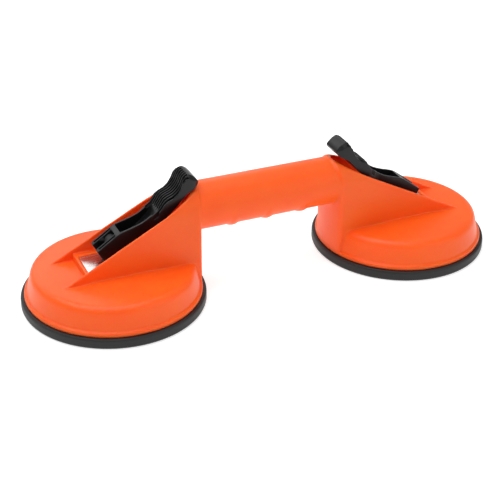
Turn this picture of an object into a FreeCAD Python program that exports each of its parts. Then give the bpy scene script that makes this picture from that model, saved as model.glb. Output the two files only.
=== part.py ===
import FreeCAD, Part
import math
import os
import Sketcher
from FreeCAD import Placement, Rotation, Vector

# Hand-held double suction-cup lifter for floor tiles and raised-floor panels.
# Frame: +Z up, the two rubber pads rest on z = 0, X runs along the handle and
# the origin is midway between the two cups.  All lengths are in millimetres.
# Each cup has a local frame with its origin on the cup axis at z = 0 and +x
# pointing outward, away from the handle; the levers point inward and up.

doc = FreeCAD.newDocument("tile_suction_lifter")
sheet = doc.addObject("Spreadsheet::Sheet", "dims")

TABLE = [
    # whole object
    ("cup_pitch", 211.5, "distance between the two cup axes"),
    ("pad_radius", 60.6, "outer radius of a rubber pad"),
    ("pad_foot_radius", 60.4, "radius of the pad where it meets the tile"),
    ("pad_rim", 7.0, "height of the pad's rim, under the housing flange"),
    ("pad_seal_inner", 51.0, "inner radius of the flat sealing face"),
    ("pad_dish", 3.5, "height of the pad's middle when clamped"),
    ("pad_web_top", 8.0, "top of the pad's middle"),
    ("pad_step_radius", 51.6, "inner edge of the rim's top face"),
    ("pad_core_radius", 27.0, "radius of the pad's stiff middle"),
    # housing cups
    ("flange_radius", 58.2, "housing flange above the pad"),
    ("flange_top", 10.1, "top of the flange"),
    ("wall_foot_radius", 56.3, "cup wall where it leaves the flange"),
    ("shoulder_radius", 53.0, "cup wall at its shoulder"),
    ("shoulder_height", 24.9, "height of the shoulder"),
    ("crown_height", 26.4, "top of the cup at its axis"),
    ("shell", 2.8, "moulded wall thickness"),
    ("column_round", 2.0, "edge radius of the wedge's inner end"),
    ("shoulder_round", 5.0, "edge radius at the shoulder"),
    ("flange_round", 0.9, "edge radius at the flange"),
    # lever housings (the wedges)
    ("wedge_half", 17.3, "half width of a wedge at its foot"),
    ("wedge_half_top", 17.1, "half width of a wedge at handle height"),
    ("wedge_wall", 1.6, "side wall of a wedge"),
    ("wedge_tip", 38.0, "outer tip of the wedge from the cup axis"),
    ("wedge_tip_height", 25.0, "height of the wedge's tip"),
    ("wedge_angle", 27.35, "slope of the wedge's opening"),
    ("column_radius", 58.0, "radius of the wedge's inner end about the cup axis"),
    ("column_bore", 55.3, "inside of that end wall"),
    ("channel_floor", 25.0, "floor of the channel at the inner end"),
    # handle
    ("handle_radius", 16.15, "outer radius of the handle"),
    ("handle_height", 57.4, "axis of the handle"),
    ("bore_radius", 12.9, "cored hole through the handle"),
    ("finger_pitch", 25.0, "spacing of the finger ridges"),
    ("finger_rise", 1.4, "how far a finger ridge stands out below the handle"),
    ("finger_half", 5.6, "half length of a finger ridge"),
    # seat, wear plate
    ("seat_half", 22.1, "half length of the plate's raised border"),
    ("seat_half_width", 14.9, "half width of that border"),
    ("seat_top", 30.1, "top of the border"),
    ("plate_half", 19.6, "half length of the wear plate"),
    ("plate_half_width", 11.0, "half width of the wear plate"),
    ("plate_top", 29.3, "running face of the wear plate"),
    ("plate_thick", 1.2, "thickness of the wear plate"),
    ("boss_radius", 14.0, "guide boss under the deck"),
    ("boss_foot", 14.2, "lower end of the boss"),
    ("deck_under", 21.9, "underside of the cup's deck"),
    ("rib_thick", 1.8, "thickness of the inner ribs"),
    ("rib_foot", 12.6, "lower edge of the inner ribs"),
    # stud, backing disc, pin
    ("tongue_half", 4.0, "half width of the stud's tongue along X"),
    ("tongue_half_thick", 3.0, "half thickness of the tongue along Y"),
    ("collar_radius", 9.0, "collar of the stud"),
    ("collar_top", 13.4, "top of the collar"),
    ("rivet_radius", 4.0, "riveted foot of the stud"),
    ("disc_radius", 25.0, "backing disc"),
    ("disc_thick", 2.5, "thickness of the backing disc"),
    ("pin_height", 42.9, "lever pin axis, clamped"),
    ("pin_radius", 2.0, "lever pin"),
    ("pin_half", 6.1, "half length of the pin"),
    ("eye_play", 0.05, "running fit of the pin in the stud's eye"),
    ("guide_play", 0.1, "running fit of the tongue in its guide"),
    # lever
    ("lever_half", 7.0, "half width of the lever at its fork"),
    ("thumb_half", 9.8, "half width of the lever at the thumb pad"),
    ("fork_half", 3.3, "half width of the fork's slot"),
    ("cam_lift", 13.35, "pin to cam face, clamped"),
    ("cam_drop", 1.8, "how much the cam lets the stud down"),
    ("right_open", 2.6, "how far the right lever stands open, degrees"),
    ("lever_swing", 62.0, "swing of the lever from clamped to released, degrees"),
    ("rim_width", 1.3, "thin rims of the lever"),
    ("groove_width", 1.6, "grooves of the thumb pad"),
    ("slope_start", 7.1, "where the thumb pad's edges start to slope off"),
    ("slope_length", 4.2, "length of those slopes"),
    ("groove_pitch", 2.5, "spacing of those grooves"),
]
for row, (alias, value, note) in enumerate(TABLE, start=1):
    sheet.set("A%d" % row, alias)
    sheet.set("B%d" % row, repr(float(value)))
    sheet.set("C%d" % row, note)
    sheet.setAlias("B%d" % row, alias)
doc.recompute()


class Size:
    """A number with the spreadsheet expression that gives it."""

    def __init__(self, value, text=None):
        self.value = float(value)
        self.text = repr(float(value)) if text is None else text

    def _join(self, other, sign, value):
        return Size(value, "(%s %s %s)" % (self.text, sign, other.text))

    def __add__(self, other):
        other = size(other)
        return self._join(other, "+", self.value + other.value)

    def __sub__(self, other):
        other = size(other)
        return self._join(other, "-", self.value - other.value)

    def __rsub__(self, other):
        return size(other) - self

    __radd__ = __add__

    def __mul__(self, other):
        other = size(other)
        return self._join(other, "*", self.value * other.value)

    __rmul__ = __mul__

    def __neg__(self):
        return Size(-self.value, "(0 - %s)" % self.text)

    def tan(self):
        return Size(math.tan(math.radians(self.value)), "tan(%s)" % self.text)


def size(x):
    return x if isinstance(x, Size) else Size(x)


def D(alias):
    return Size(float(sheet.get(alias)), "dims.%s" % alias)


def bind(obj, prop, q):
    q = size(q)
    obj.setExpression(prop, q.text)


def place(obj, x=0, y=0, z=0):
    for axis, q in zip("xyz", (x, y, z)):
        q = size(q)
        if q.text != "0.0":
            obj.setExpression("Placement.Base.%s" % axis, q.text)


def polygon(sketch, points):
    """A closed polygon; every corner is held by two dimensions bound to the sheet."""
    n = len(points)
    pts = [Vector(size(a).value, size(b).value, 0) for a, b in points]
    for i in range(n):
        sketch.addGeometry(Part.LineSegment(pts[i], pts[(i + 1) % n]), False)
    for i in range(n):
        sketch.addConstraint(Sketcher.Constraint("Coincident", i, 2, (i + 1) % n, 1))
    for i, (a, b) in enumerate(points):
        a, b = size(a), size(b)
        if abs(a.value) < 1e-9:
            sketch.addConstraint(Sketcher.Constraint("PointOnObject", i, 1, -2))
        else:
            k = sketch.addConstraint(
                Sketcher.Constraint("DistanceX", -1, 1, i, 1, a.value)
            )
            sketch.setExpression("Constraints[%d]" % k, a.text)
        if abs(b.value) < 1e-9:
            sketch.addConstraint(Sketcher.Constraint("PointOnObject", i, 1, -1))
        else:
            k = sketch.addConstraint(
                Sketcher.Constraint("DistanceY", -1, 1, i, 1, b.value)
            )
            sketch.setExpression("Constraints[%d]" % k, b.text)
    return sketch


def circle(sketch, x, y, radius):
    x, y, radius = size(x), size(y), size(radius)
    g = sketch.addGeometry(
        Part.Circle(Vector(x.value, y.value, 0), Vector(0, 0, 1), radius.value), False
    )
    k = sketch.addConstraint(Sketcher.Constraint("Radius", g, radius.value))
    sketch.setExpression("Constraints[%d]" % k, radius.text)
    if abs(x.value) < 1e-9:
        sketch.addConstraint(Sketcher.Constraint("PointOnObject", g, 3, -2))
    else:
        k = sketch.addConstraint(Sketcher.Constraint("DistanceX", -1, 1, g, 3, x.value))
        sketch.setExpression("Constraints[%d]" % k, x.text)
    if abs(y.value) < 1e-9:
        sketch.addConstraint(Sketcher.Constraint("PointOnObject", g, 3, -1))
    else:
        k = sketch.addConstraint(Sketcher.Constraint("DistanceY", -1, 1, g, 3, y.value))
        sketch.setExpression("Constraints[%d]" % k, y.text)
    return g


XZ = Rotation(Vector(1, 0, 0), 90)  # sketch x -> X, sketch y -> Z
YZ = Rotation(Vector(1, 1, 1), 120)  # sketch x -> Y, sketch y -> Z


def free_sketch(name, rotation=None, x=0):
    sk = doc.addObject("Sketcher::SketchObject", name)
    sk.Placement = Placement(
        Vector(size(x).value, 0, 0), rotation or Rotation(0, 0, 0)
    )
    if size(x).text != "0.0":
        sk.setExpression("Placement.Base.x", size(x).text)
    return sk


def extrude(name, base, direction, length, back=None):
    e = doc.addObject("Part::Extrusion", name)
    e.Base = base
    e.DirMode = "Custom"
    e.Dir = direction
    bind(e, "LengthFwd", length)
    if back is not None:
        bind(e, "LengthRev", back)
    e.Solid = True
    return e


def revolve(name, base, x=0):
    r = doc.addObject("Part::Revolution", name)
    r.Source = base
    r.Axis = Vector(0, 0, 1)
    r.Base = Vector(size(x).value, 0, 0)
    if size(x).text != "0.0":
        r.setExpression("Base.x", size(x).text)
    r.Angle = 360
    r.Solid = True
    return r


def cylinder(name, radius, height, x=0, y=0, z=0, rotation=None):
    c = doc.addObject("Part::Cylinder", name)
    bind(c, "Radius", radius)
    bind(c, "Height", height)
    if rotation is not None:
        c.Placement = Placement(Vector(0, 0, 0), rotation)
    place(c, x, y, z)
    return c


def box(name, length, width, height, x=0, y=0, z=0):
    b = doc.addObject("Part::Box", name)
    bind(b, "Length", length)
    bind(b, "Width", width)
    bind(b, "Height", height)
    place(b, x, y, z)
    return b


def fuse(name, parts):
    f = doc.addObject("Part::MultiFuse", name)
    f.Shapes = parts
    f.Refine = True
    return f


def cut(name, base, tool):
    c = doc.addObject("Part::Cut", name)
    c.Base = base
    c.Tool = tool
    c.Refine = True
    return c


def common(name, parts):
    c = doc.addObject("Part::MultiCommon", name)
    c.Shapes = parts
    c.Refine = True
    return c


def body(name):
    return doc.addObject("PartDesign::Body", name)


def origin_plane(b, role):
    for f in b.Origin.OriginFeatures:
        if f.Role == role:
            return f
    raise RuntimeError("no plane " + role)


def body_sketch(b, name, role):
    sk = b.newObject("Sketcher::SketchObject", name)
    sk.AttachmentSupport = [(origin_plane(b, role), "")]
    sk.MapMode = "FlatFace"
    return sk


def fillet(name, base, edges):
    f = doc.addObject("Part::Fillet", name)
    f.Base = base
    f.Edges = edges
    return f


HALF = D("cup_pitch") * 0.5
parts = {}

# ---------------------------------------------------------------- housing
# One orange moulding: two shallow cups, a hollow wedge on each for its lever,
# and the hollow handle between the wedges.  The half with x > 0 is built and
# mirrored.

# cup, outside
sk = free_sketch("cup_outer_profile", XZ)
polygon(
    sk,
    [
        (HALF, D("pad_rim")),
        (HALF + D("flange_radius"), D("pad_rim")),
        (HALF + D("flange_radius"), D("flange_top") - D("flange_round")),
        (
            HALF + D("flange_radius") - D("flange_round") * 0.293,
            D("flange_top") - D("flange_round") * 0.293,
        ),
        (HALF + D("flange_radius") - D("flange_round"), D("flange_top")),
        (HALF + D("wall_foot_radius"), D("flange_top")),
        (HALF + D("shoulder_radius"), D("shoulder_height")),
        (HALF, D("crown_height")),
    ],
)
cup_outer = revolve("cup_outer", sk, HALF)
doc.recompute()


# wedge, outside: a tall section with slightly drafted sides and a round top,
# ended by a cylinder about the cup axis and cut by the sloping opening


def tall_section(name, half_foot, half_top, foot, start):
    """Side walls from foot to the handle's axis, closed by an arc over the handle."""
    s = free_sketch(name, YZ, start)
    hf, ht, z0 = size(half_foot), size(half_top), size(foot)
    zc = D("handle_height")
    a = Vector(-hf.value, z0.value, 0)
    b = Vector(hf.value, z0.value, 0)
    c = Vector(ht.value, zc.value, 0)
    d = Vector(-ht.value, zc.value, 0)
    s.addGeometry(Part.LineSegment(a, b), False)
    s.addGeometry(Part.LineSegment(b, c), False)
    s.addGeometry(
        Part.Arc(c, Vector(0, zc.value + ht.value, 0), d), False
    )
    s.addGeometry(Part.LineSegment(d, a), False)
    s.addConstraint(Sketcher.Constraint("Coincident", 0, 2, 1, 1))
    # the arc may be stored with its ends in either order
    arc = s.Geometry[2]
    first, last = (1, 2) if (arc.StartPoint - c).Length < 1e-6 else (2, 1)
    s.addConstraint(Sketcher.Constraint("Coincident", 1, 2, 2, first))
    s.addConstraint(Sketcher.Constraint("Coincident", 2, last, 3, 1))
    s.addConstraint(Sketcher.Constraint("Coincident", 3, 2, 0, 1))

    def hold(kind, geo, pos, q):
        k = s.addConstraint(Sketcher.Constraint(kind, -1, 1, geo, pos, q.value))
        s.setExpression("Constraints[%d]" % k, q.text)

    hold("DistanceX", 0, 1, -hf)
    hold("DistanceY", 0, 1, z0)
    hold("DistanceX", 0, 2, hf)
    hold("DistanceY", 0, 2, z0)
    hold("DistanceX", 1, 2, ht)
    hold("DistanceY", 1, 2, zc)
    hold("DistanceX", 3, 1, -ht)
    hold("DistanceY", 3, 1, zc)
    hold("DistanceY", 2, 3, zc)
    return s


outer_section = tall_section(
    "wedge_outer_section",
    D("wedge_half"),
    D("wedge_half_top"),
    D("pad_rim"),
    HALF - 70,
)
wedge_block = extrude(
    "wedge_block", outer_section, Vector(1, 0, 0), D("wedge_tip") + 80
)
column_round = cylinder(
    "column_round", D("column_radius"), 90, HALF, 0, 0
)
wedge_round = common("wedge_round", [wedge_block, column_round])

doc.recompute()
wedge_soft = fillet(
    "wedge_soft",
    wedge_round,
    [
        (i, D("column_round").value, D("column_round").value)
        for i, e in enumerate(wedge_round.Shape.Edges, start=1)
        if e.BoundBox.XMax < HALF.value - 50 and e.BoundBox.ZMax > 40
    ],
)

# everything above the sloping opening is cut away
sk = free_sketch("opening_profile", XZ)
rise = D("wedge_angle").tan()
polygon(
    sk,
    [
        (HALF + D("wedge_tip") + 20, D("wedge_tip_height") - rise * 20),
        (HALF + D("wedge_tip") + 20, 130),
        (HALF + D("wedge_tip") - 120, 130),
        (HALF + D("wedge_tip") - 120, D("wedge_tip_height") + rise * 120),
    ],
)
opening_cut = extrude("opening_cut", sk, Vector(0, 1, 0), 40, 40)

# handle, outside, with three finger ridges round its underside: each is a
# lens-shaped ring set a little below the handle's axis
along_x = Rotation(Vector(0, 1, 0), 90)
handle_bar = cylinder(
    "handle_bar", D("handle_radius"), HALF - 45, 0, 0, D("handle_height"), along_x
)
ridge_axis = D("handle_height") - D("finger_rise")
ridge_top = D("handle_radius") - 0.08
rings = []
for i, first in enumerate((0.0, -1.0)):  # half a ridge at the middle, a whole one
    half = D("finger_half")
    at = D("finger_pitch") * i
    core = ridge_axis - (ridge_top - 3.2)

    def below(drop):
        return ridge_axis - (ridge_top - drop)

    right_side = [
        (at + half * 0.16, below(0.05)),
        (at + half * 0.42, below(0.45)),
        (at + half * 0.75, below(1.25)),
        (at + half, below(1.95)),
        (at + half, core),
    ]
    left_side = [
        (at - half, core),
        (at - half, below(1.95)),
        (at - half * 0.75, below(1.25)),
        (at - half * 0.42, below(0.45)),
        (at - half * 0.16, below(0.05)),
    ]
    if first == 0.0:
        left_side = [(0, core), (0, below(0.0))]
    sk = free_sketch("ridge_profile_%d" % (i + 1), XZ)
    polygon(sk, left_side + right_side)
    ring = doc.addObject("Part::Revolution", "ridge_%d" % (i + 1))
    ring.Source = sk
    ring.Axis = Vector(1, 0, 0)
    ring.Base = Vector(0, 0, ridge_axis.value)
    ring.setExpression("Base.z", ridge_axis.text)
    ring.Angle = 360
    ring.Solid = True
    rings.append(ring)
handle_gripped = fuse("handle_gripped", [handle_bar] + rings)

outer_1 = cut("outer_1", fuse("wedge_and_handle", [wedge_soft, handle_gripped]), opening_cut)

# channel inside the wedge
inner_section = tall_section(
    "channel_section",
    D("wedge_half") - D("wedge_wall"),
    D("wedge_half_top") - D("wedge_wall"),
    D("channel_floor"),
    HALF - 70,
)
channel_block = extrude(
    "channel_block", inner_section, Vector(1, 0, 0), D("wedge_tip") + 90
)
column_bore = cylinder("column_bore", D("column_bore"), 90, HALF, 0, 0)
channel = common("channel", [channel_block, column_bore])
outer_2 = cut("outer_2", outer_1, channel)
handle_bore = cylinder(
    "handle_bore", D("bore_radius"), HALF - 40, -1, 0, D("handle_height"), along_x
)
outer_3 = cut("outer_3", outer_2, handle_bore)

# seat for the wear plate: a raised border on the channel's floor
seat = box(
    "seat",
    D("seat_half") * 2,
    D("seat_half_width") * 2,
    D("seat_top") - 23,
    HALF - D("seat_half"),
    -D("seat_half_width"),
    23,
)
outer_4 = fuse("outer_4", [outer_3, cup_outer, seat])

# hollow underside, with a guide boss and radial ribs left standing
sk = free_sketch("cup_inner_profile", XZ)
t = D("shell")
polygon(
    sk,
    [
        (HALF, D("pad_rim") - 1),
        (HALF + D("wall_foot_radius") - t, D("pad_rim") - 1),
        (HALF + D("wall_foot_radius") - t, D("flange_top")),
        (HALF + D("shoulder_radius") - t - 1.8, D("deck_under")),
        (HALF, D("deck_under")),
    ],
)
cup_inner = revolve("cup_inner", sk, HALF)
column_pocket_box = box(
    "column_pocket_box", 30, 28, 15.5, HALF - 65, -14, D("pad_rim") - 1
)
column_pocket_round = cylinder(
    "column_pocket_round", D("column_bore") - 0.3, 40, HALF, 0, 0
)
column_pocket = common("column_pocket", [column_pocket_box, column_pocket_round])
boss = cylinder(
    "boss", D("boss_radius"), 20, HALF, 0, D("boss_foot")
)
kept = [boss]
for i in range(6):
    angle = 30.0 * i
    rib = doc.addObject("Part::Box", "inner_rib_%d" % (i + 1))
    bind(rib, "Length", 120)
    bind(rib, "Width", D("rib_thick"))
    bind(rib, "Height", 20)
    a = math.radians(angle)
    half = D("rib_thick").value / 2
    rib.Placement = Placement(
        Vector(
            HALF.value - 60 * math.cos(a) + half * math.sin(a),
            -60 * math.sin(a) - half * math.cos(a),
            D("rib_foot").value,
        ),
        Rotation(Vector(0, 0, 1), angle),
    )
    kept.append(rib)
cavity = cut("cavity", fuse("cavity_all", [cup_inner, column_pocket]), fuse("cavity_kept", kept))
outer_5 = cut("outer_5", outer_4, cavity)

# recess for the wear plate and the slot that guides the stud's tongue
plate_recess = box(
    "plate_recess",
    D("plate_half") * 2,
    D("plate_half_width") * 2,
    10,
    HALF - D("plate_half"),
    -D("plate_half_width"),
    D("plate_top") - D("plate_thick"),
)
tongue_slot = box(
    "tongue_slot",
    (D("tongue_half") + D("guide_play")) * 2,
    (D("tongue_half_thick") + D("guide_play")) * 2,
    40,
    HALF - D("tongue_half") - D("guide_play"),
    -(D("tongue_half_thick") + D("guide_play")),
    5,
)
collar_room = cylinder(
    "collar_room",
    D("boss_radius") - 1,
    D("boss_foot") - D("pad_rim") + 2,
    HALF,
    0,
    D("pad_rim") - 2,
)
half_sharp = cut(
    "half_sharp",
    outer_5,
    fuse("seat_cuts", [plate_recess, tongue_slot, collar_room]),
)
doc.recompute()


def circles(shape, radius, height, r):
    """Fillet entries for the circular edges with this radius at this height."""
    out = []
    for i, e in enumerate(shape.Edges, start=1):
        c = e.Curve
        if isinstance(c, Part.Circle) and abs(c.Radius - radius.value) < 1e-3:
            if abs(c.Center.z - height.value) < 1e-3:
                out.append((i, r.value, r.value))
    return out


half_housing = fillet(
    "half_housing",
    half_sharp,
    circles(
        half_sharp.Shape, D("shoulder_radius"), D("shoulder_height"), D("shoulder_round")
    ),
)

other_half = doc.addObject("Part::Mirroring", "other_half")
other_half.Source = half_housing
other_half.Base = Vector(0, 0, 0)
other_half.Normal = Vector(1, 0, 0)
housing = fuse("housing", [half_housing, other_half])
parts["housing"] = housing

# ---------------------------------------------------------------- the two sides
# Everything below is modelled in a cup's local frame and then set on its cup:
# the right cup as it is, the left cup turned half a turn about its axis.
SIDES = (("left", -1), ("right", 1))


def seat_on_cup(obj, sign):
    turn = Rotation(Vector(0, 0, 1), 180 if sign < 0 else 0)
    obj.Placement = Placement(Vector(sign * HALF.value, 0, 0), turn)
    obj.setExpression("Placement.Base.x", "%d * dims.cup_pitch / 2" % sign)


def suction_pad(side, sign):
    """Rubber disc: a thick rim with a flat sealing face and a dished, flexible middle."""
    name = "suction_pad_" + side
    b = body(name)
    sk = body_sketch(b, "pad_profile_" + side, "XZ_Plane")
    polygon(
        sk,
        [
            (0, D("pad_dish")),
            (D("pad_core_radius"), D("pad_dish") - 0.2),
            (D("pad_seal_inner") - 3, 0.4),
            (D("pad_seal_inner"), 0),
            (D("pad_foot_radius"), 0),
            (D("pad_radius"), D("pad_rim") - 0.8),
            (D("pad_radius") - 0.6, D("pad_rim")),
            (D("pad_step_radius"), D("pad_rim")),
            (D("pad_step_radius") - 2.4, D("pad_rim") - 1.4),
            (D("pad_step_radius") - 5.6, D("pad_rim") - 1.4),
            (D("pad_core_radius") + 1, D("pad_web_top")),
            (0, D("pad_web_top")),
        ],
    )
    rev = b.newObject("PartDesign::Revolution", "pad_turn_" + side)
    rev.Profile = sk
    rev.ReferenceAxis = (sk, ["V_Axis"])
    rev.Angle = 360
    seat_on_cup(b, sign)
    return name, b


def backing_disc(side, sign):
    """Stiff disc bonded to the middle of the rubber, with a hole for the stud's foot."""
    name = "backing_disc_" + side
    b = body(name)
    sk = body_sketch(b, "disc_outline_" + side, "XY_Plane")
    circle(sk, 0, 0, D("disc_radius"))
    circle(sk, 0, 0, D("rivet_radius"))
    sk.AttachmentOffset = Placement(Vector(0, 0, D("pad_web_top").value), Rotation())
    sk.setExpression("AttachmentOffset.Base.z", "dims.pad_web_top")
    pad = b.newObject("PartDesign::Pad", "disc_pad_" + side)
    pad.Profile = sk
    bind(pad, "Length", D("disc_thick"))
    seat_on_cup(b, sign)
    return name, b


def stud(side, sign):
    """Riveted foot, collar and a flat tongue with an eye for the lever pin."""
    name = "stud_" + side
    b = body(name)
    sk = body_sketch(b, "stud_profile_" + side, "XZ_Plane")
    top = D("pad_web_top") + D("disc_thick")
    polygon(
        sk,
        [
            (0, D("pad_web_top")),
            (D("rivet_radius"), D("pad_web_top")),
            (D("rivet_radius"), top),
            (D("collar_radius"), top),
            (D("collar_radius"), D("collar_top") - 0.6),
            (D("collar_radius") - 0.6, D("collar_top")),
            (0, D("collar_top")),
        ],
    )
    rev = b.newObject("PartDesign::Revolution", "stud_foot_" + side)
    rev.Profile = sk
    rev.ReferenceAxis = (sk, ["V_Axis"])
    rev.Angle = 360
    doc.recompute()
    # tongue: straight sides, round top about the eye
    sk = body_sketch(b, "tongue_outline_" + side, "XZ_Plane")
    w, z0, zc = D("tongue_half"), D("collar_top") - 1, D("pin_height")
    pts = [
        Vector(-w.value, z0.value, 0),
        Vector(w.value, z0.value, 0),
        Vector(w.value, zc.value, 0),
        Vector(-w.value, zc.value, 0),
    ]
    sk.addGeometry(Part.LineSegment(pts[0], pts[1]), False)
    sk.addGeometry(Part.LineSegment(pts[1], pts[2]), False)
    sk.addGeometry(
        Part.Arc(pts[2], Vector(0, zc.value + w.value, 0), pts[3]), False
    )
    sk.addGeometry(Part.LineSegment(pts[3], pts[0]), False)
    sk.addConstraint(Sketcher.Constraint("Coincident", 0, 2, 1, 1))
    arc = sk.Geometry[2]
    first, last = (1, 2) if (arc.StartPoint - pts[2]).Length < 1e-6 else (2, 1)
    sk.addConstraint(Sketcher.Constraint("Coincident", 1, 2, 2, first))
    sk.addConstraint(Sketcher.Constraint("Coincident", 2, last, 3, 1))
    sk.addConstraint(Sketcher.Constraint("Coincident", 3, 2, 0, 1))
    for kind, geo, pos, q in (
        ("DistanceX", 0, 1, -w),
        ("DistanceY", 0, 1, z0),
        ("DistanceX", 0, 2, w),
        ("DistanceY", 0, 2, z0),
        ("DistanceX", 1, 2, w),
        ("DistanceY", 1, 2, zc),
        ("DistanceX", 3, 1, -w),
        ("DistanceY", 3, 1, zc),
        ("DistanceY", 2, 3, zc),
    ):
        k = sk.addConstraint(Sketcher.Constraint(kind, -1, 1, geo, pos, q.value))
        sk.setExpression("Constraints[%d]" % k, q.text)
    pad = b.newObject("PartDesign::Pad", "tongue_" + side)
    pad.Profile = sk
    pad.Midplane = True
    bind(pad, "Length", D("tongue_half_thick") * 2)
    doc.recompute()
    before = b.Shape.Volume
    sk = body_sketch(b, "eye_outline_" + side, "XZ_Plane")
    circle(sk, 0, zc, D("pin_radius") + D("eye_play"))
    eye = b.newObject("PartDesign::Pocket", "eye_" + side)
    eye.Profile = sk
    eye.Midplane = True
    eye.Type = "ThroughAll"
    doc.recompute()
    assert b.Shape.Volume < before - 50, "the eye wasn't cut"
    seat_on_cup(b, sign)
    return name, b


def lever_pin(side, sign):
    """Plain dowel pressed into the lever's fork, turning in the stud's eye."""
    name = "lever_pin_" + side
    b = body(name)
    sk = body_sketch(b, "pin_outline_" + side, "XZ_Plane")
    circle(sk, 0, D("pin_height"), D("pin_radius"))
    pad = b.newObject("PartDesign::Pad", "pin_pad_" + side)
    pad.Profile = sk
    pad.Midplane = True
    bind(pad, "Length", D("pin_half") * 2)
    doc.recompute()
    ends = [
        "Edge%d" % i
        for i, e in enumerate(pad.Shape.Edges, start=1)
        if isinstance(e.Curve, Part.Circle)
    ]
    ch = b.newObject("PartDesign::Chamfer", "pin_chamfer_" + side)
    ch.Base = (pad, ends)
    ch.Size = 0.4
    seat_on_cup(b, sign)
    return name, b


def wear_plate(side, sign):
    """Steel plate under the cams, with a slot for the stud's tongue."""
    name = "wear_plate_" + side
    b = body(name)
    sk = body_sketch(b, "plate_outline_" + side, "XY_Plane")
    x, y = D("plate_half") - 0.15, D("plate_half_width") - 0.15
    polygon(sk, [(-x, -y), (x, -y), (x, y), (-x, y)])
    sk.AttachmentOffset = Placement(
        Vector(0, 0, D("plate_top").value - D("plate_thick").value), Rotation()
    )
    sk.setExpression("AttachmentOffset.Base.z", "dims.plate_top - dims.plate_thick")
    pad = b.newObject("PartDesign::Pad", "plate_pad_" + side)
    pad.Profile = sk
    bind(pad, "Length", D("plate_thick"))
    doc.recompute()
    before = b.Shape.Volume
    sk = body_sketch(b, "plate_slot_outline_" + side, "XY_Plane")
    x, y = D("tongue_half") + 0.4, D("tongue_half_thick") + 0.4
    polygon(sk, [(-x, -y), (x, -y), (x, y), (-x, y)])
    slot = b.newObject("PartDesign::Pocket", "plate_slot_" + side)
    slot.Profile = sk
    slot.Midplane = True
    slot.Type = "ThroughAll"
    doc.recompute()
    assert b.Shape.Volume < before - 40, "the slot wasn't cut"
    corners = [
        "Edge%d" % i
        for i, e in enumerate(slot.Shape.Edges, start=1)
        if abs(e.Length - D("plate_thick").value) < 1e-4
        and abs(abs(e.Vertexes[0].X) - (D("plate_half").value - 0.15)) < 1e-3
    ]
    f = b.newObject("PartDesign::Fillet", "plate_corners_" + side)
    f.Base = (slot, corners)
    f.Radius = 0.8
    seat_on_cup(b, sign)
    return name, b


# ---------------------------------------------------------------- lever
# Side view in the local frame, clamped: a fork with two cams about the pin, a
# recessed neck and a flared, ribbed thumb pad that ends over the handle.
PIN_Z = D("pin_height").value
LIFT = D("cam_lift").value
SWING = math.radians(D("lever_swing").value)
RATE = D("cam_drop").value / SWING  # drop of the stud per radian


def cam_point(theta):
    """Point of the cam that bears on the plate when the lever has swung by theta.
    The cam's distance from the pin falls evenly with the swing (an involute)."""
    h = LIFT - RATE * theta
    a = -math.pi / 2 + theta
    return Vector(
        h * math.cos(a) + RATE * math.sin(a),
        0,
        PIN_Z + h * math.sin(a) - RATE * math.cos(a),
    )


def vec(x, z):
    return Vector(x, 0, z)


CREST = [  # top of the lever from the fork's facet to the tip
    (-2.0, 50.5), (-4.2, 51.5), (-9.4, 53.0), (-16.6, 55.1), (-21.4, 57.3),
    (-25.4, 60.0), (-29.6, 63.2), (-32.0, 66.3), (-33.6, 68.7), (-36.2, 70.5),
    (-39.8, 72.0), (-43.0, 74.7), (-45.2, 78.1), (-46.8, 81.8), (-48.7, 83.8),
    (-51.2, 84.1),
]
BELLY = [  # underside from the tip to the heel of the cam
    (-57.3, 78.2), (-55.9, 75.9), (-52.6, 73.8), (-49.2, 72.1), (-46.4, 69.5),
    (-43.6, 66.6), (-40.6, 63.4), (-37.6, 60.5), (-34.0, 57.3), (-30.0, 54.1),
    (-22.0, 48.1), (-15.5, 42.8), (-11.5, 38.3), (-8.8, 33.8), (-6.2, 31.2),
]
NOSE = (12.0, 41.0)


def spline(points):
    c = Part.BSplineCurve()
    c.interpolate([vec(*p) if isinstance(p, tuple) else p for p in points])
    return c.toShape()


def lever_outline():
    tip_top, tip_low = CREST[-1], BELLY[0]
    cam = [cam_point(SWING * (i / 14.0)) for i in range(15)]
    edges = [
        Part.LineSegment(vec(*NOSE), vec(*CREST[0])).toShape(),
        spline(CREST),
        spline([tip_top, (-53.4, 82.9), (-55.8, 80.6), tip_low]),
        spline(BELLY),
        Part.LineSegment(vec(*BELLY[-1]), cam[0]).toShape(),
        spline(cam),
        Part.LineSegment(cam[-1], vec(*NOSE)).toShape(),
    ]
    return Part.Wire(Part.__sortEdges__(edges))


def plan_outline():
    a, b = D("lever_half").value, D("thumb_half").value
    side = [
        (14.0, a), (-20.0, a), (-23.0, a + 0.12), (-26.5, a + 1.1), (-30.0, a + 2.35),
        (-34.0, b - 0.1), (-40.0, b), (-50.0, b - 0.15), (-54.5, b - 0.9),
        (-57.6, b - 3.2),
    ]
    up = Part.BSplineCurve()
    up.interpolate([Vector(x, y, 0) for x, y in side[1:]])
    dn = Part.BSplineCurve()
    dn.interpolate([Vector(x, -y, 0) for x, y in side[1:]])
    first, last = side[0], side[-1]
    edges = [
        Part.LineSegment(Vector(14, a, 0), Vector(-20, a, 0)).toShape(),
        up.toShape(),
        Part.LineSegment(
            Vector(last[0], last[1], 0), Vector(last[0], -last[1], 0)
        ).toShape(),
        dn.toShape(),
        Part.LineSegment(Vector(-20, -a, 0), Vector(14, -a, 0)).toShape(),
        Part.LineSegment(Vector(14, -a, 0), Vector(14, a, 0)).toShape(),
    ]
    return Part.Wire(Part.__sortEdges__(edges))


def feature(name, shape):
    f = doc.addObject("Part::Feature", name)
    f.Shape = shape
    return f


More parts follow.
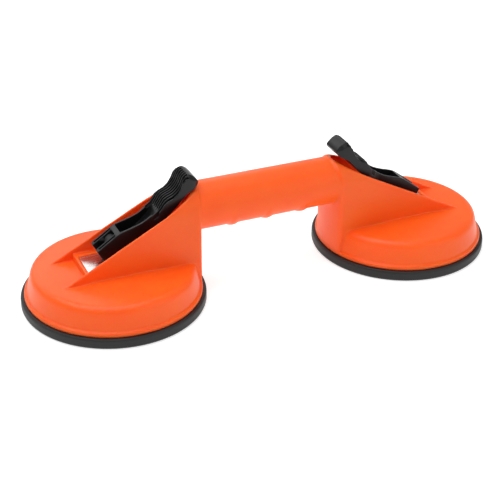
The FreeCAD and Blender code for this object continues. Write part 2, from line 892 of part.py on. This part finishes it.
def slab(name, points, y, width):
    """A closed side-view polygon, extruded along Y from y - width/2 to y + width/2."""
    wire = Part.makePolygon([vec(*p) for p in points] + [vec(*points[0])])
    face = feature(name + "_face", Part.Face(wire))
    e = extrude(name, face, Vector(0, 1, 0), size(y) + size(width) * 0.5, size(width) * 0.5 - size(y))
    return e


fx, fz = CREST[0][0] - NOSE[0], CREST[0][1] - NOSE[1]
fl = math.hypot(fx, fz)
FACET = (-fx / fl, -fz / fl)  # down the facet, towards the nose


def facet_point(along, deep):
    """Point a distance down the facet from its top, and a depth into the lever."""
    nx, nz = FACET[1], -FACET[0]
    return (
        CREST[0][0] + FACET[0] * along + nx * deep,
        CREST[0][1] + FACET[1] * along + nz * deep,
    )


def lever(side, sign):
    name = "lever_" + side
    n = lambda word: "%s_%s" % (word, side)
    profile = feature(n("lever_profile"), Part.Face(lever_outline()))
    block = extrude(
        n("lever_block"), profile, Vector(0, 1, 0), D("thumb_half") + 1, D("thumb_half") + 1
    )
    plan = feature(n("lever_plan"), Part.Face(plan_outline()))
    stock = extrude(n("lever_stock"), plan, Vector(0, 0, 1), 95, 0)
    blank = common(n("lever_blank"), [block, stock])

    # slot of the fork, for the stud's tongue over the whole swing
    slot = slab(
        n("fork_slot"),
        [
            facet_point(D("rim_width").value, -3),
            facet_point(D("rim_width").value, 4.2),
            (-4.5, 44.4),
            (-4.5, 25.0),
            (20.0, 25.0),
            (20.0, 45.0),
        ],
        0,
        D("fork_half") * 2,
    )
    # narrow grooves in the two fork arms
    tools = [slot]
    for k, s in (("a", -1), ("b", 1)):
        tools.append(
            slab(
                n("arm_groove_" + k),
                [
                    facet_point(D("rim_width").value, -1),
                    facet_point(fl - 1.6, -1),
                    facet_point(fl - 1.9, 2.2),
                    facet_point(fl - 4.0, 2.9),
                    facet_point(D("rim_width").value + 0.3, 2.9),
                ],
                s * 5.1,
                1.5,
            )
        )
    # scooped neck between thin rims
    floor = [
        (-4.8, 49.2),
        (-6.4, 45.6),
        (-12.2, 45.4),
        (-16.4, 47.5),
        (-21.6, 51.3),
        (-25.6, 55.0),
        (-28.2, 58.6),
        (-30.4, 63.3),
    ]
    tools.append(
        slab(
            n("neck_scoop"),
            [(-3.4, 54.0)] + floor + [(-30.4, 67.0), (-14.0, 64.0)],
            0,
            (D("lever_half") - D("rim_width")) * 2,
        )
    )
    # grooves of the thumb pad, following its wave
    ridge = [p for p in CREST if p[0] < -23.0]
    deep = 1.4
    band = []
    for i, (x, z) in enumerate(ridge):
        a = ridge[max(i - 1, 0)]
        b = ridge[min(i + 1, len(ridge) - 1)]
        tx, tz = b[0] - a[0], b[1] - a[1]
        tl = math.hypot(tx, tz)
        band.append((x - tz / tl * deep, z + tx / tl * deep))
    outer = [(x + 7, z + 6) for x, z in reversed(ridge)]
    for i in range(6):
        y = (i - 2.5) * 1.0
        tools.append(
            slab(
                n("thumb_groove_%d" % (i + 1)),
                band + outer,
                D("groove_pitch") * y,
                D("groove_width"),
            )
        )
    # the pad's two long edges slope off, with a groove in each slope
    edge = [p for p in CREST if p[0] < -27.0]
    edge = [(edge[0][0] + 4.0, edge[0][1] - 0.6)] + edge
    edge = edge + [(-53.4, 82.9), (-56.0, 80.4), (-58.5, 77.0)]
    beyond = [(x - 3, z + 9) for x, z in reversed(edge)]
    for k, s in (("a", -1), ("b", 1)):
        wire = Part.makePolygon([vec(*p) for p in edge + beyond] + [vec(*edge[0])])
        face = Part.Face(wire)
        face.translate(Vector(0, s * D("slope_start").value, 0))
        face = feature(n("slope_face_" + k), face)
        tools.append(
            extrude(
                n("slope_" + k),
                face,
                Vector(0.28, s * 0.74, -0.62),
                D("slope_length"),
                0,
            )
        )
        tools.append(
            slab(
                n("slope_groove_" + k),
                [(x - 0.5, z - 1.9) for x, z in band] + outer,
                s * 8.45,
                D("groove_width") - 0.4,
            )
        )
    # pin hole: the lever is moulded round the pin, so the ends are closed
    tools.append(
        cylinder(
            n("pin_hole"),
            D("pin_radius"),
            D("pin_half") * 2 + 0.2,
            0,
            D("pin_half") + 0.1,
            D("pin_height"),
            Rotation(Vector(1, 0, 0), 90),
        )
    )
    part = cut(name, blank, fuse(n("lever_tools"), tools))
    return name, part


for side, sign in SIDES:
    for make in (suction_pad, backing_disc, stud, lever_pin, wear_plate):
        name, obj = make(side, sign)
        parts[name] = obj
    name, obj = lever(side, sign)
    parts[name] = obj
    doc.recompute()
    seat_on_cup(obj, sign)
    if sign > 0:  # the right lever stands a little open, turned about its pin
        obj.Placement = Placement(
            obj.Placement.Base,
            Rotation(Vector(0, 1, 0), D("right_open").value),
            Vector(0, 0, PIN_Z),
        )
        obj.setExpression(
            "Placement.Base.x",
            "dims.cup_pitch / 2 - dims.pin_height * sin(dims.right_open)",
        )
        obj.setExpression(
            "Placement.Base.z", "dims.pin_height * (1 - cos(dims.right_open))"
        )
        obj.setExpression("Placement.Rotation.Angle", "dims.right_open")

doc.recompute()

# ---------------------------------------------------------------- export
bad = [
    o.Label for o in doc.Objects if "Invalid" in o.State or "Error" in o.State
]
if bad:
    raise RuntimeError("failed objects: " + ", ".join(bad))
for name, obj in parts.items():
    shape = obj.Shape
    if shape.isNull() or not shape.isValid():
        raise RuntimeError("bad shape: " + name)
    if len(shape.Solids) != 1:
        raise RuntimeError("%s has %d solids" % (name, len(shape.Solids)))
os.makedirs("parts", exist_ok=True)
for name, obj in sorted(parts.items()):
    obj.Shape.exportStep("parts/%s.step" % name)
    bb = obj.Shape.BoundBox
    print(
        "%-20s %9.1f mm3  x %.2f..%.2f  y %.2f..%.2f  z %.2f..%.2f"
        % (name, obj.Shape.Volume, bb.XMin, bb.XMax, bb.YMin, bb.YMax, bb.ZMin, bb.ZMax)
    )
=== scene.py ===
import math

import bmesh
import bpy
import numpy as np
from mathutils import Matrix, Vector
from mathutils.bvhtree import BVHTree


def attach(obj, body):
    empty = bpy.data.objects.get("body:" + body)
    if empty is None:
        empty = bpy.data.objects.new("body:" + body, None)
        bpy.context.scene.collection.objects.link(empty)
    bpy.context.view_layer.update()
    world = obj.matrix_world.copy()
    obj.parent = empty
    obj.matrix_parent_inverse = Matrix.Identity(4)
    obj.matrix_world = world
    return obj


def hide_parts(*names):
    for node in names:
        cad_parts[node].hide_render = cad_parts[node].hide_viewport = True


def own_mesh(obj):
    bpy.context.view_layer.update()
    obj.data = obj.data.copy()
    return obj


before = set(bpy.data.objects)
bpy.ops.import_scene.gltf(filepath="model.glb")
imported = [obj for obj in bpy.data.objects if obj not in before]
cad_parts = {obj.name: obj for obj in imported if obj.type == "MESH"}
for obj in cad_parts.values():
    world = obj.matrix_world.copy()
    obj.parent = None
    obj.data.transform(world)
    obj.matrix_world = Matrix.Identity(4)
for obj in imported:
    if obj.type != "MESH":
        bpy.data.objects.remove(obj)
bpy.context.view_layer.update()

MM = 0.001
SIDES = (("left", -1.0), ("right", 1.0))

# ------------------------------------------------------------------ camera
AZ, EL, ROLL = math.radians(-24.093), math.radians(29.685), math.radians(0.686)
DISTANCE, TARGET = 0.91547, Vector((0.00228, 0.02423, 0.0))
FOCAL_PX = 1304.334

back = Vector(
    (math.sin(AZ) * math.cos(EL), -math.cos(AZ) * math.cos(EL), math.sin(EL))
)
fwd = -back
right = fwd.cross(Vector((0, 0, 1))).normalized()
up = right.cross(fwd).normalized()
right_r = right * math.cos(ROLL) + up * math.sin(ROLL)
up_r = -right * math.sin(ROLL) + up * math.cos(ROLL)
cam_data = bpy.data.cameras.new("camera")
cam_data.sensor_width = 36.0
cam_data.lens = FOCAL_PX * 36.0 / 500.0
cam_data.clip_start, cam_data.clip_end = 0.01, 20
cam = bpy.data.objects.new("camera", cam_data)
bpy.context.scene.collection.objects.link(cam)
cam.matrix_world = Matrix(
    (
        (right_r.x, up_r.x, back.x, TARGET.x + back.x * DISTANCE),
        (right_r.y, up_r.y, back.y, TARGET.y + back.y * DISTANCE),
        (right_r.z, up_r.z, back.z, TARGET.z + back.z * DISTANCE),
        (0, 0, 0, 1),
    )
)
bpy.context.scene.camera = cam


# ------------------------------------------------------------------ materials
class Nodes:
    """A small helper that writes node trees."""

    def __init__(self, name):
        self.mat = bpy.data.materials.new(name)
        self.mat.use_nodes = True
        self.t = self.mat.node_tree
        self.t.nodes.clear()
        self.out = self.t.nodes.new("ShaderNodeOutputMaterial")
        self.bsdf = self.t.nodes.new("ShaderNodeBsdfPrincipled")
        self.t.links.new(self.bsdf.outputs[0], self.out.inputs[0])
        geo = self.t.nodes.new("ShaderNodeNewGeometry")
        coord = self.t.nodes.new("ShaderNodeTexCoord")
        self.point = coord.outputs["Object"]
        self.geo = geo

    def link(self, a, b):
        self.t.links.new(a, b)

    def noise(self, scale, detail=3.0, rough=0.5, vector=None, distortion=0.0):
        n = self.t.nodes.new("ShaderNodeTexNoise")
        n.inputs["Scale"].default_value = scale
        n.inputs["Detail"].default_value = detail
        n.inputs["Roughness"].default_value = rough
        n.inputs["Distortion"].default_value = distortion
        self.link(vector or self.point, n.inputs["Vector"])
        return n.outputs["Fac"]

    def stretch(self, sx, sy, sz):
        m = self.t.nodes.new("ShaderNodeMapping")
        m.inputs["Scale"].default_value = (sx, sy, sz)
        self.link(self.point, m.inputs["Vector"])
        return m.outputs["Vector"]

    def remap(self, value, a, b, c, d, smooth=False):
        r = self.t.nodes.new("ShaderNodeMapRange")
        if smooth:
            r.interpolation_type = "SMOOTHSTEP"
        r.inputs["From Min"].default_value = a
        r.inputs["From Max"].default_value = b
        r.inputs["To Min"].default_value = c
        r.inputs["To Max"].default_value = d
        self.link(value, r.inputs["Value"])
        return r.outputs["Result"]

    def math(self, op, a, b):
        m = self.t.nodes.new("ShaderNodeMath")
        m.operation = op
        for socket, v in ((m.inputs[0], a), (m.inputs[1], b)):
            if isinstance(v, (int, float)):
                socket.default_value = v
            else:
                self.link(v, socket)
        return m.outputs[0]

    def mix(self, fac, a, b):
        m = self.t.nodes.new("ShaderNodeMix")
        m.data_type = "RGBA"
        for socket, v in ((m.inputs[0], fac), (m.inputs[6], a), (m.inputs[7], b)):
            if isinstance(v, (int, float)):
                socket.default_value = v
            elif isinstance(v, tuple):
                socket.default_value = (*v, 1.0)
            else:
                self.link(v, socket)
        return m.outputs[2]

    def bump(self, *layers):
        """layers: (height, strength, distance)"""
        normal = None
        for height, strength, distance in layers:
            b = self.t.nodes.new("ShaderNodeBump")
            b.inputs["Strength"].default_value = strength
            b.inputs["Distance"].default_value = distance
            self.link(height, b.inputs["Height"])
            if normal is not None:
                self.link(normal, b.inputs["Normal"])
            normal = b.outputs["Normal"]
        self.link(normal, self.bsdf.inputs["Normal"])

    def edge(self, low, high):
        """0 on flat ground, 1 on sharp convex edges (from the mesh's pointiness)."""
        return self.remap(self.geo.outputs["Pointiness"], low, high, 0.0, 1.0, True)


def orange_abs():
    n = Nodes("orange_abs")
    cloud = n.noise(38.0, 3.0, 0.55)
    fine = n.noise(900.0, 2.0, 0.6)
    grain = n.noise(3800.0, 1.0, 0.5)
    scuff = n.noise(260.0, 5.0, 0.7, n.stretch(0.35, 1.0, 1.0))
    base = n.mix(n.remap(cloud, 0.3, 0.7, 0.0, 1.0), (0.975, 0.118, 0.0098), (0.945, 0.105, 0.0083))
    base = n.mix(n.remap(fine, 0.35, 0.75, 0.0, 0.35), base, (0.98, 0.128, 0.012))
    base = n.mix(n.math("MULTIPLY", n.edge(0.53, 0.62), 0.35), base, (0.98, 0.168, 0.028))
    n.link(base, n.bsdf.inputs["Base Color"])
    rough = n.math(
        "ADD",
        n.remap(cloud, 0.3, 0.7, 0.33, 0.39),
        n.math(
            "ADD",
            n.remap(grain, 0.35, 0.65, -0.02, 0.03),
            n.remap(scuff, 0.6, 0.78, 0.0, 0.10, True),
        ),
    )
    n.link(rough, n.bsdf.inputs["Roughness"])
    n.bump((grain, 0.06, 0.00006), (cloud, 0.05, 0.0006), (scuff, 0.03, 0.00008))
    n.bsdf.inputs["IOR"].default_value = 1.5
    n.bsdf.inputs["Specular IOR Level"].default_value = 0.28
    n.bsdf.inputs["Subsurface Weight"].default_value = 0.55
    n.bsdf.inputs["Subsurface Radius"].default_value = (1.0, 0.10, 0.02)
    n.bsdf.inputs["Subsurface Scale"].default_value = 0.0050
    return n.mat


def black_rubber():
    n = Nodes("black_rubber")
    cloud = n.noise(60.0, 4.0, 0.6)
    grain = n.noise(2600.0, 2.0, 0.6)
    dust = n.noise(420.0, 6.0, 0.7)
    base = n.mix(n.remap(cloud, 0.3, 0.7, 0.0, 1.0), (0.013, 0.0128, 0.0130), (0.018, 0.0177, 0.0178))
    base = n.mix(n.remap(dust, 0.56, 0.8, 0.0, 0.35, True), base, (0.045, 0.043, 0.041))
    base = n.mix(n.math("MULTIPLY", n.edge(0.52, 0.60), 0.35), base, (0.055, 0.053, 0.052))
    n.link(base, n.bsdf.inputs["Base Color"])
    n.link(
        n.math(
            "ADD",
            n.remap(cloud, 0.3, 0.7, 0.44, 0.54),
            n.remap(dust, 0.5, 0.8, 0.0, 0.15, True),
        ),
        n.bsdf.inputs["Roughness"],
    )
    n.bump((grain, 0.10, 0.00006), (dust, 0.05, 0.00008))
    n.bsdf.inputs["IOR"].default_value = 1.5
    n.bsdf.inputs["Specular IOR Level"].default_value = 0.3
    return n.mat


def black_nylon():
    n = Nodes("black_nylon")
    cloud = n.noise(70.0, 4.0, 0.6)
    grain = n.noise(3000.0, 2.0, 0.6)
    scuff = n.noise(500.0, 5.0, 0.7, n.stretch(1.0, 0.3, 1.0))
    base = n.mix(n.remap(cloud, 0.3, 0.7, 0.0, 1.0), (0.0035, 0.0033, 0.0040), (0.0055, 0.0051, 0.0062))
    # painted highlight: sharp convex edges and rib crests are lightened to stand in for bright edge
    # highlights
    base = n.mix(n.math("MULTIPLY", n.edge(0.52, 0.60), 0.8), base, (0.075, 0.073, 0.080))
    base = n.mix(n.remap(scuff, 0.64, 0.8, 0.0, 0.3, True), base, (0.028, 0.027, 0.030))
    n.link(base, n.bsdf.inputs["Base Color"])
    n.link(
        n.math(
            "ADD",
            n.remap(cloud, 0.3, 0.7, 0.29, 0.37),
            n.remap(scuff, 0.58, 0.8, 0.0, 0.16, True),
        ),
        n.bsdf.inputs["Roughness"],
    )
    n.bump((grain, 0.08, 0.00005), (scuff, 0.04, 0.00006))
    n.bsdf.inputs["IOR"].default_value = 1.5
    n.bsdf.inputs["Specular IOR Level"].default_value = 0.32
    return n.mat


def bright_steel():
    n = Nodes("bright_steel")
    along = n.noise(900.0, 3.0, 0.6, n.stretch(0.03, 1.0, 1.0))
    cloud = n.noise(120.0, 3.0, 0.6)
    wear = n.noise(700.0, 5.0, 0.7, n.stretch(0.12, 1.0, 1.0))
    base = n.mix(n.remap(cloud, 0.3, 0.7, 0.0, 1.0), (0.66, 0.655, 0.645), (0.74, 0.735, 0.725))
    base = n.mix(n.remap(wear, 0.6, 0.8, 0.0, 0.4, True), base, (0.45, 0.44, 0.43))
    n.link(base, n.bsdf.inputs["Base Color"])
    n.bsdf.inputs["Metallic"].default_value = 1.0
    n.link(
        n.math(
            "ADD",
            n.remap(along, 0.3, 0.7, 0.20, 0.30),
            n.remap(wear, 0.55, 0.8, 0.0, 0.15, True),
        ),
        n.bsdf.inputs["Roughness"],
    )
    n.bump((along, 0.05, 0.00003))
    return n.mat


def dark_steel(name, low, high, rough, metal=0.85, worn=(0.42, 0.41, 0.40)):
    n = Nodes(name)
    cloud = n.noise(180.0, 4.0, 0.6)
    grain = n.noise(2400.0, 3.0, 0.65)
    base = n.mix(n.remap(cloud, 0.3, 0.7, 0.0, 1.0), low, high)
    base = n.mix(n.math("MULTIPLY", n.edge(0.53, 0.62), 0.6), base, worn)
    n.link(base, n.bsdf.inputs["Base Color"])
    n.bsdf.inputs["Metallic"].default_value = metal
    n.link(n.remap(grain, 0.3, 0.7, rough - 0.06, rough + 0.08), n.bsdf.inputs["Roughness"])
    n.bump((grain, 0.08, 0.00004))
    return n.mat


MATERIALS = {
    "housing": orange_abs(),
    "suction_pad": black_rubber(),
    "lever": black_nylon(),
    "wear_plate": bright_steel(),
    "stud": dark_steel(
        "phosphated_steel", (0.006, 0.006, 0.0065), (0.011, 0.0105, 0.011), 0.66, 0.0, (0.02, 0.02, 0.02)
    ),
    "backing_disc": dark_steel("zinc_steel", (0.55, 0.56, 0.57), (0.64, 0.645, 0.65), 0.34),
    "lever_pin": dark_steel("black_oxide_steel", (0.035, 0.035, 0.038), (0.06, 0.06, 0.062), 0.36),
}


def kind(node):
    return node.rsplit("_", 1)[0] if node.endswith(("_left", "_right")) else node


for name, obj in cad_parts.items():
    obj.data.materials.clear()
    obj.data.materials.append(MATERIALS[kind(name)])


# ------------------------------------------------------------------ soft edges
def smooth_field(values, edges, count, rounds, keep=0.0):
    """Average a per-vertex field over the mesh's edges, a number of times."""
    a, b = edges[:, 0], edges[:, 1]
    degree = np.bincount(a, minlength=count) + np.bincount(b, minlength=count)
    degree = np.maximum(degree, 1)[:, None]
    for _ in range(rounds):
        total = np.zeros_like(values)
        for k in range(values.shape[1]):
            total[:, k] = np.bincount(a, values[b, k], count) + np.bincount(
                b, values[a, k], count
            )
        values = values * keep + (total / degree) * (1 - keep)
    return values


def softened(node, name, body, voxel, rounds, ratio, normal_rounds):
    """A copy of a CAD node with softly rounded edges: remeshed evenly, relaxed a
    little, thinned out again, and shaded with the CAD surface's own normals."""
    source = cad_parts[node]
    src = source.data
    # the CAD surface, with its smooth corner normals
    src.calc_loop_triangles()
    tris = np.zeros(len(src.loop_triangles) * 3, np.int64)
    src.loop_triangles.foreach_get("vertices", tris)
    loops = np.zeros(len(src.loop_triangles) * 3, np.int64)
    src.loop_triangles.foreach_get("loops", loops)
    corner = np.zeros(len(src.loops) * 3)
    src.corner_normals.foreach_get("vector", corner)
    corner = corner.reshape(-1, 3)
    co = np.zeros(len(src.vertices) * 3)
    src.vertices.foreach_get("co", co)
    co = co.reshape(-1, 3)
    tris, loops = tris.reshape(-1, 3), loops.reshape(-1, 3)
    tree = BVHTree.FromPolygons(co.tolist(), tris.tolist(), epsilon=0.0)

    mesh = src.copy()
    mesh.name = name
    obj = bpy.data.objects.new(name, mesh)
    bpy.context.scene.collection.objects.link(obj)
    bm = bmesh.new()
    bm.from_mesh(mesh)
    bmesh.ops.remove_doubles(bm, verts=bm.verts, dist=2e-6)
    bm.to_mesh(mesh)
    bm.free()
    m = obj.modifiers.new("remesh", "REMESH")
    m.mode = "VOXEL"
    m.voxel_size = voxel
    m.adaptivity = 0.0
    m.use_smooth_shade = True
    m = obj.modifiers.new("relax", "SMOOTH")
    m.factor = 0.5
    m.iterations = rounds
    m = obj.modifiers.new("thin", "DECIMATE")
    m.decimate_type = "COLLAPSE"
    m.ratio = ratio
    dg = bpy.context.evaluated_depsgraph_get()
    new = bpy.data.meshes.new_from_object(obj.evaluated_get(dg))
    obj.modifiers.clear()
    old = obj.data
    obj.data = new
    bpy.data.meshes.remove(old)
    new.name = name
    if "Col" in new.attributes:
        new.attributes.remove(new.attributes["Col"])

    count = len(new.vertices)
    pts = np.zeros(count * 3)
    new.vertices.foreach_get("co", pts)
    pts = pts.reshape(-1, 3)
    edges = np.zeros(len(new.edges) * 2, np.int64)
    new.edges.foreach_get("vertices", edges)
    edges = edges.reshape(-1, 2)
    own = np.zeros(count * 3)
    new.vertices.foreach_get("normal", own)
    own = own.reshape(-1, 3)
    field = np.zeros((count, 3))
    for i in range(count):
        p, _, t, _ = tree.find_nearest(pts[i])
        a, b, c = (co[k] for k in tris[t])
        v0, v1, v2 = b - a, c - a, np.array(p) - a
        d00, d01, d11 = v0 @ v0, v0 @ v1, v1 @ v1
        d20, d21 = v2 @ v0, v2 @ v1
        den = d00 * d11 - d01 * d01
        if den <= 1e-30:
            w = (1 / 3, 1 / 3, 1 / 3)
        else:
            v = (d11 * d20 - d01 * d21) / den
            u = (d00 * d21 - d01 * d20) / den
            w = (1 - v - u, v, u)
        n = sum(corner[loops[t][k]] * w[k] for k in range(3))
        field[i] = n if n @ own[i] > 0 else own[i]
    length = np.linalg.norm(field, axis=1, keepdims=True)
    field /= np.maximum(length, 1e-12)
    field = smooth_field(field, edges, count, normal_rounds, 0.3)
    field /= np.maximum(np.linalg.norm(field, axis=1, keepdims=True), 1e-12)
    for p in new.polygons:
        p.use_smooth = True
    new.normals_split_custom_set_from_vertices(field.tolist())
    new.materials.clear()
    new.materials.append(MATERIALS[kind(node)])
    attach(obj, body)
    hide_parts(node)
    return obj


softened("housing", "housing_moulded", "housing", 0.0006, 3, 0.28, 3)
for side, sign in SIDES:
    softened(
        "lever_" + side, "lever_%s_moulded" % side, "lever_" + side, 0.00026, 2, 0.40, 1
    )


# ------------------------------------------------------------------ rubber pads
def rounded(points, radii, step=8.0):
    """A closed profile with rounded corners: (r, z) points and one radius each."""
    out = []
    n = len(points)
    for i in range(n):
        p = Vector(points[i])
        a, b = Vector(points[i - 1]), Vector(points[(i + 1) % n])
        r = radii[i]
        u, v = (a - p), (b - p)
        lu, lv = u.length, v.length
        u, v = u / lu, v / lv
        angle = u.angle(v)
        if r <= 0 or angle > math.radians(178):
            out.append(tuple(p))
            continue
        cut = min(r / math.tan(angle / 2), 0.48 * lu, 0.48 * lv)
        r = cut * math.tan(angle / 2)
        centre = p + (u + v).normalized() * (r / math.sin(angle / 2))
        s, e = p + u * cut - centre, p + v * cut - centre
        turn = math.pi - angle
        k = max(2, int(math.degrees(turn) / step))
        sgn = 1 if s.x * e.y - s.y * e.x > 0 else -1
        for j in range(k + 1):
            t = sgn * turn * j / k
            out.append(
                (
                    centre.x + s.x * math.cos(t) - s.y * math.sin(t),
                    centre.y + s.x * math.sin(t) + s.y * math.cos(t),
                )
            )
    return out


def fill_long(profile, longest):
    """Put extra points on the long runs of a profile."""
    out = []
    n = len(profile)
    for i in range(n):
        a, b = Vector(profile[i]), Vector(profile[(i + 1) % n])
        k = max(1, int(math.ceil((b - a).length / longest)))
        for j in range(k):
            q = a + (b - a) * (j / k)
            out.append((q.x, q.y))
    return out


def turned(name, profile, cx, steps=192, wobble=None):
    """A closed solid of revolution about the vertical through (cx, 0)."""
    bm = bmesh.new()
    rings = []
    for r, z in profile:
        if r < 1e-6:
            v = bm.verts.new((cx * MM, 0, z * MM))
            rings.append([v] * steps)
            continue
        ring = []
        for k in range(steps):
            a = 2 * math.pi * k / steps
            dz = wobble(r, a) if wobble else 0.0
            ring.append(
                bm.verts.new(
                    ((cx + r * math.cos(a)) * MM, r * math.sin(a) * MM, (z + dz) * MM)
                )
            )
        rings.append(ring)
    n = len(profile)
    for i in range(n):
        p, q = rings[i], rings[(i + 1) % n]
        for k in range(steps):
            l = (k + 1) % steps
            quad = []
            for v in (p[k], p[l], q[l], q[k]):
                if v not in quad:
                    quad.append(v)
            if len(quad) > 2:
                bm.faces.new(quad)
    bmesh.ops.recalc_face_normals(bm, faces=bm.faces)
    for f in bm.faces:
        f.smooth = True
    mesh = bpy.data.meshes.new(name)
    bm.to_mesh(mesh)
    bm.free()
    obj = bpy.data.objects.new(name, mesh)
    bpy.context.scene.collection.objects.link(obj)
    mesh.materials.append(MATERIALS["suction_pad"])
    return obj


def sharp_by_angle(obj, degrees):
    mesh = obj.data
    bm = bmesh.new()
    bm.from_mesh(mesh)
    for e in bm.edges:
        if len(e.link_faces) == 2 and e.calc_face_angle(0.0) > math.radians(degrees):
            e.smooth = False
    bm.to_mesh(mesh)
    bm.free()


SEAM = 47.5
for side, sign in SIDES:
    cx = sign * 105.75
    rim = rounded(
        [
            (SEAM, 0.46), (48.6, 0.30), (51.2, 0.0), (57.8, 0.0), (60.1, 0.30),
            (60.6, 1.5), (60.6, 5.6), (60.2, 7.0), (51.8, 7.0), (49.4, 5.6), (SEAM, 5.5),
        ],
        [0, 3.0, 2.5, 1.2, 0.7, 1.0, 0.9, 0.7, 0.5, 1.0, 0],
    )
    rim = turned("pad_rim_" + side, fill_long(rim, 1.2), cx, 240)
    sharp_by_angle(rim, 40)
    web = rounded(
        [
            (0.0, 3.5), (27.0, 3.32), (SEAM, 0.46), (SEAM, 5.5), (45.5, 5.5),
            (27.5, 8.0), (0.0, 8.0),
        ],
        [0, 14.0, 0, 0, 4.0, 2.0, 0],
    )
    web = turned("pad_web_" + side, fill_long(web, 1.6), cx, 144)
    sharp_by_angle(web, 40)
    for obj in (rim, web):
        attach(obj, "housing")
    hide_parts("suction_pad_" + side)
    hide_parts("suction_pad_" + side)
    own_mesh(web)

# ------------------------------------------------------------------ stage
bm = bmesh.new()
R = 6.0
v = [bm.verts.new(p) for p in ((-R, -R, -0.0002), (R, -R, -0.0002), (R, R, -0.0002), (-R, R, -0.0002))]
bm.faces.new(v)
mesh = bpy.data.meshes.new("floor")
bm.to_mesh(mesh)
bm.free()
floor = bpy.data.objects.new("floor", mesh)
bpy.context.scene.collection.objects.link(floor)
n = Nodes("floor_white")
cloud = n.noise(3.0, 2.0, 0.5)
n.link(n.mix(cloud, (0.62, 0.62, 0.62), (0.64, 0.64, 0.64)), n.bsdf.inputs["Base Color"])
n.bsdf.inputs["Roughness"].default_value = 0.8
n.bsdf.inputs["Specular IOR Level"].default_value = 0.1
n.bsdf.inputs["Emission Color"].default_value = (1, 1, 1, 1)
n.bsdf.inputs["Emission Strength"].default_value = 0.62
mesh.materials.append(n.mat)

world = bpy.data.worlds.new("studio")
bpy.context.scene.world = world
world.use_nodes = True
bg = world.node_tree.nodes["Background"]
bg.inputs[0].default_value = (1.0, 1.0, 1.0, 1.0)
bg.inputs[1].default_value = 0.45


def area(name, location, target, size, power, size_y=None):
    light = bpy.data.lights.new(name, "AREA")
    light.energy = power
    light.size = size
    if size_y:
        light.shape = "RECTANGLE"
        light.size_y = size_y
    obj = bpy.data.objects.new(name, light)
    bpy.context.scene.collection.objects.link(obj)
    obj.location = location
    obj.rotation_euler = (Vector(target) - Vector(location)).to_track_quat("-Z", "Y").to_euler()
    return obj


area("key", (-0.35, 0.10, 1.5), (0, 0, 0), 1.5, 20)
area("fill", (0.9, -1.2, 0.7), (0, 0, 0.03), 1.2, 4.0)
area("rim", (-0.1, 1.5, 0.85), (0, 0, 0.04), 1.8, 5.0, 0.5)

bpy.context.scene.view_settings.view_transform = "Standard"
bpy.context.scene.view_settings.look = "None"
